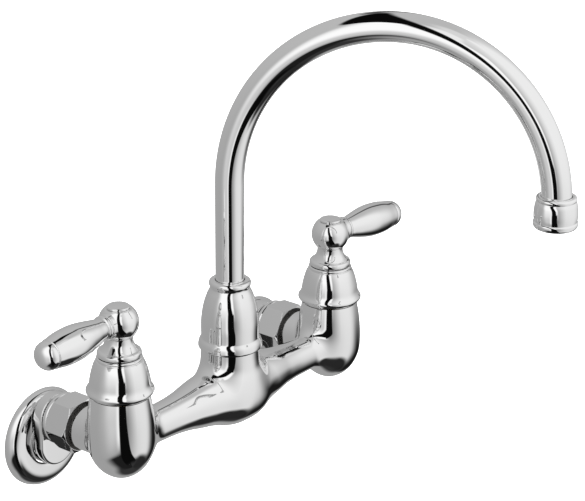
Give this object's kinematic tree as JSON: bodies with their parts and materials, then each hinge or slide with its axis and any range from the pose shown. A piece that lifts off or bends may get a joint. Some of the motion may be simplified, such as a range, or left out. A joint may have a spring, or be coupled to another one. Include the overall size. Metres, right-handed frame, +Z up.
{
  "type": "two handle kitchen faucet",
  "caption": "Wall-mounted bridge kitchen faucet with a lever handle on each valve, a swivelling gooseneck spout ending in an aerator, and offset supply unions with wall flanges.",
  "frame": {"origin": "on the wall plane, midway between the axes of the two supply inlets", "axes": "+X towards the right-hand valve as seen from the front, +Y into the wall along the supply inlets, +Z up along the valve stems and the spout's swivel axis"},
  "size_m": [0.3394, 0.2834, 0.3124],
  "materials": {
    "chrome": "polished chrome plate",
    "brass": "machined",
    "ceramic": "lapped ceramic",
    "rubber": "matt",
    "plastic": "moulded",
    "steel": "stainless"
  },
  "bodies": {
    "faucet_body": {"body_casting": "chrome", "bonnet_left": "chrome", "bonnet_nut_left": "brass", "bonnet_nut_right": "brass", "bonnet_right": "chrome", "cartridge_seal_left": "rubber", "cartridge_seal_right": "rubber", "disc_fixed_left": "ceramic", "disc_fixed_right": "ceramic", "eccentric_union_left": "chrome", "eccentric_union_right": "chrome", "spout_bearing": "plastic", "spout_nut": "chrome", "spout_retainer": "plastic", "union_nut_left": "chrome", "union_nut_right": "chrome", "union_washer_left": "rubber", "union_washer_right": "rubber", "valve_cartridge_left": "brass", "valve_cartridge_right": "brass", "wall_flange_left": "chrome", "wall_flange_right": "chrome"},
    "spout": {"spout_tube": "chrome", "spout_spigot": "brass", "spout_orings": "rubber", "aerator_housing": "chrome", "aerator_insert": "plastic", "aerator_washer": "rubber", "aerator_screen": "steel"},
    "handle_left_set": {"handle_left": "chrome", "index_button_left": "chrome", "handle_screw_left": "steel", "valve_stem_left": "brass", "stem_oring_left": "rubber", "stem_clip_left": "steel", "disc_moving_left": "ceramic"},
    "handle_right_set": {"handle_right": "chrome", "index_button_right": "chrome", "handle_screw_right": "steel", "valve_stem_right": "brass", "stem_oring_right": "rubber", "stem_clip_right": "steel", "disc_moving_right": "ceramic"}
  },
  "joints": [
    {"name": "spout_swivel", "type": "hinge", "parent": "faucet_body", "child": "spout", "pos_m": [0, -0.071, 0.0522], "axis": [0, 0, 1], "range_deg": [-118.5, 81.5]},
    {"name": "handle_left_turn", "type": "hinge", "parent": "faucet_body", "child": "handle_left_set", "pos_m": [-0.1016, -0.071, 0.097], "axis": [0, 0, 1], "range_deg": [0, 90]},
    {"name": "handle_right_turn", "type": "hinge", "parent": "faucet_body", "child": "handle_right_set", "pos_m": [0.1016, -0.071, 0.097], "axis": [0, 0, 1], "range_deg": [-90, 0]}
  ]
}
